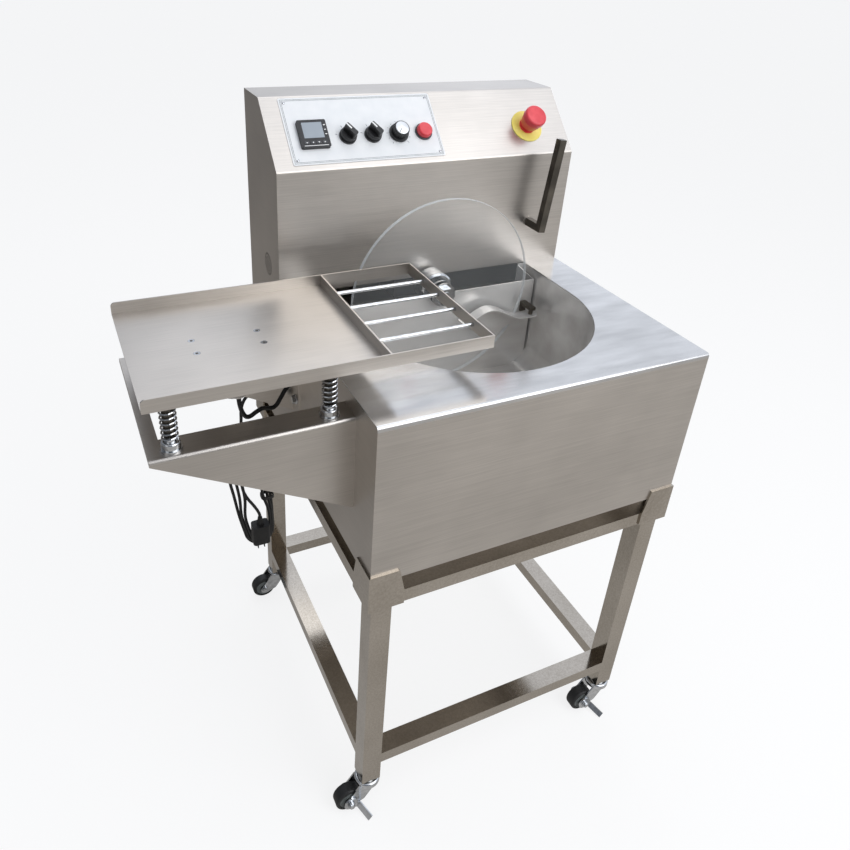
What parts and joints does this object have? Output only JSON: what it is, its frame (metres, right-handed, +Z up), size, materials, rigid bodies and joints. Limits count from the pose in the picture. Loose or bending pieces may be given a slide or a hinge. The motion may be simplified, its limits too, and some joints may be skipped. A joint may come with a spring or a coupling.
{
  "type": "chocolate melting wheel machine",
  "caption": "Stainless chocolate machine with an open tank, clear lifting wheel, scraper, slanted control panel, sprung vibrating table and a tube stand on castors.",
  "frame": {"origin": "on the floor under the middle of the machine's box, measured without the mains cord", "axes": "+Z up, -Y towards the operator's side, +X to the right, with the table at -X"},
  "size_m": [0.826, 0.5998, 1.134],
  "materials": {
    "brushed_stainless": "brushed stainless sheet, horizontal grain",
    "polished_stainless": "mirror-polished stainless sheet",
    "tube_stainless": "polished stainless tube",
    "chrome_plate": "bright chrome plate",
    "clear_acrylic": "clear cast acrylic",
    "dark_bar": "dark oxide finish on steel bar",
    "dark_cast": "dark painted motor casting",
    "vibrator_grey": "pale grey painted aluminium casting",
    "black_rubber": "moulded black rubber",
    "black_plastic": "fine-textured black moulding",
    "dark_plastic": "dark grey moulding",
    "screen_grey": "unlit grey display window",
    "white_plate": "white satin plate",
    "red_plastic": "glossy red moulding",
    "yellow_plastic": "satin yellow moulding",
    "heater_rubber": "silicone heating pad"
  },
  "bodies": {
    "machine": {"stand_legs": "tube_stainless", "stand_rails": "tube_stainless", "corner_brackets": "tube_stainless", "castor_mounts": "chrome_plate", "body_shell": "brushed_stainless", "top_plate": "polished_stainless", "base_plate": "brushed_stainless", "tank": "polished_stainless", "tank_heater": "heater_rubber", "scraper": "polished_stainless", "scraper_holder": "dark_bar", "housing_shell": "brushed_stainless", "rear_cover": "brushed_stainless", "gear_motor": "dark_cast", "motor_shelf": "brushed_stainless", "control_plate": "white_plate", "controller_case": "black_plastic", "controller_screen": "screen_grey", "switch_bezels": "black_plastic", "pilot_lamp": "red_plastic", "estop_ring": "yellow_plastic", "estop_collar": "red_plastic", "lever_bush": "brushed_stainless", "table_bracket": "brushed_stainless", "spring_seats": "chrome_plate", "table_springs": "chrome_plate", "cable_gland": "black_plastic", "vibrator_cable": "black_rubber", "cord_gland": "black_plastic", "cord_lead": "black_rubber", "cord_hank": "black_rubber", "cord_plug": "black_rubber"},
    "wheel": {"wheel_disc": "clear_acrylic", "wheel_shaft": "chrome_plate", "wheel_nut": "chrome_plate"},
    "table": {"tray": "brushed_stainless", "grid_rods": "chrome_plate", "spring_studs": "dark_bar", "vibrator_motor": "vibrator_grey", "vibrator_screws": "chrome_plate"},
    "flow_lever": {"flow_lever": "dark_bar"},
    "selector_left": {"selector_left": "black_plastic"},
    "selector_right": {"selector_right": "black_plastic"},
    "speed_knob": {"speed_knob": "black_plastic"},
    "estop_plunger": {"estop_plunger": "red_plastic"},
    "estop_head": {"estop_head": "red_plastic"},
    "key_1": {"key_1": "dark_plastic"},
    "key_2": {"key_2": "dark_plastic"},
    "key_3": {"key_3": "dark_plastic"},
    "key_4": {"key_4": "dark_plastic"},
    "castor_fork_fl": {"castor_fork_fl": "chrome_plate"},
    "castor_wheel_fl": {"castor_wheel_fl": "black_rubber"},
    "castor_fork_fr": {"castor_fork_fr": "chrome_plate"},
    "castor_wheel_fr": {"castor_wheel_fr": "black_rubber"},
    "castor_fork_rl": {"castor_fork_rl": "chrome_plate"},
    "castor_wheel_rl": {"castor_wheel_rl": "black_rubber"},
    "castor_fork_rr": {"castor_fork_rr": "chrome_plate"},
    "castor_wheel_rr": {"castor_wheel_rr": "black_rubber"},
    "castor_brake_fl": {"castor_brake_fl": "chrome_plate"},
    "castor_brake_fr": {"castor_brake_fr": "chrome_plate"}
  },
  "joints": [
    {"name": "wheel_spin", "type": "hinge", "parent": "machine", "child": "wheel", "pos_m": [0.1325, 0.0649, 0.8205], "axis": [0, 1, 0], "continuous": true},
    {"name": "table_bounce", "type": "slide", "parent": "machine", "child": "table", "axis": [0, 0, 1], "range_m": [-0.003, 0.003], "stiffness_N_per_m": 50000, "springref_m": 0.00078, "deforming": ["table_springs"]},
    {"name": "lever_swing", "type": "hinge", "parent": "machine", "child": "flow_lever", "pos_m": [0.335, 0.1249, 0.914], "axis": [0, -1, 0], "range_deg": [-20, 60]},
    {"name": "key_1_press", "type": "slide", "parent": "machine", "child": "key_1", "axis": [0, 0.7221, -0.6917], "range_m": [0, 0.0005], "stiffness_N_per_m": 300},
    {"name": "key_2_press", "type": "slide", "parent": "machine", "child": "key_2", "axis": [0, 0.7221, -0.6917], "range_m": [0, 0.0005], "stiffness_N_per_m": 300},
    {"name": "key_3_press", "type": "slide", "parent": "machine", "child": "key_3", "axis": [0, 0.7221, -0.6917], "range_m": [0, 0.0005], "stiffness_N_per_m": 300},
    {"name": "key_4_press", "type": "slide", "parent": "machine", "child": "key_4", "axis": [0, 0.7221, -0.6917], "range_m": [0, 0.0005], "stiffness_N_per_m": 300},
    {"name": "selector_left_turn", "type": "hinge", "parent": "machine", "child": "selector_left", "pos_m": [-0.014, 0.16279, 1.07856], "axis": [0, 0.7221, -0.6917], "range_deg": [0, 60]},
    {"name": "selector_right_turn", "type": "hinge", "parent": "machine", "child": "selector_right", "pos_m": [0.03, 0.16279, 1.07856], "axis": [0, 0.7221, -0.6917], "range_deg": [0, 60]},
    {"name": "speed_turn", "type": "hinge", "parent": "machine", "child": "speed_knob", "pos_m": [0.0765, 0.16279, 1.07856], "axis": [0, 0.7221, -0.6917], "range_deg": [0, 280]},
    {"name": "estop_press", "type": "slide", "parent": "machine", "child": "estop_plunger", "axis": [0, 0.7221, -0.6917], "range_m": [0, 0.005], "stiffness_N_per_m": 800},
    {"name": "estop_release", "type": "hinge", "parent": "estop_plunger", "child": "estop_head", "pos_m": [0.33, 0.16279, 1.07856], "axis": [0, 0.7221, -0.6917], "range_deg": [0, 30]},
    {"name": "castor_fl_swivel", "type": "hinge", "parent": "machine", "child": "castor_fork_fl", "pos_m": [-0.122, -0.2561, 0.062], "axis": [0, 0, 1], "continuous": true},
    {"name": "castor_fl_roll", "type": "hinge", "parent": "castor_fork_fl", "child": "castor_wheel_fl", "pos_m": [-0.158, -0.2561, 0.025], "axis": [0, 1, 0], "continuous": true},
    {"name": "castor_fr_swivel", "type": "hinge", "parent": "machine", "child": "castor_fork_fr", "pos_m": [0.387, -0.2561, 0.062], "axis": [0, 0, 1], "continuous": true},
    {"name": "castor_fr_roll", "type": "hinge", "parent": "castor_fork_fr", "child": "castor_wheel_fr", "pos_m": [0.351, -0.2561, 0.025], "axis": [0, 1, 0], "continuous": true},
    {"name": "castor_rl_swivel", "type": "hinge", "parent": "machine", "child": "castor_fork_rl", "pos_m": [-0.122, 0.2739, 0.062], "axis": [0, 0, 1], "continuous": true},
    {"name": "castor_rl_roll", "type": "hinge", "parent": "castor_fork_rl", "child": "castor_wheel_rl", "pos_m": [-0.158, 0.2739, 0.025], "axis": [0, 1, 0], "continuous": true},
    {"name": "castor_rr_swivel", "type": "hinge", "parent": "machine", "child": "castor_fork_rr", "pos_m": [0.387, 0.2739, 0.062], "axis": [0, 0, 1], "continuous": true},
    {"name": "castor_rr_roll", "type": "hinge", "parent": "castor_fork_rr", "child": "castor_wheel_rr", "pos_m": [0.351, 0.2739, 0.025], "axis": [0, 1, 0], "continuous": true},
    {"name": "castor_fl_brake", "type": "hinge", "parent": "castor_fork_fl", "child": "castor_brake_fl", "pos_m": [-0.158, -0.2561, 0.025], "axis": [0, -1, 0], "range_deg": [0, 30]},
    {"name": "castor_fr_brake", "type": "hinge", "parent": "castor_fork_fr", "child": "castor_brake_fr", "pos_m": [0.351, -0.2561, 0.025], "axis": [0, -1, 0], "range_deg": [0, 30]}
  ]
}
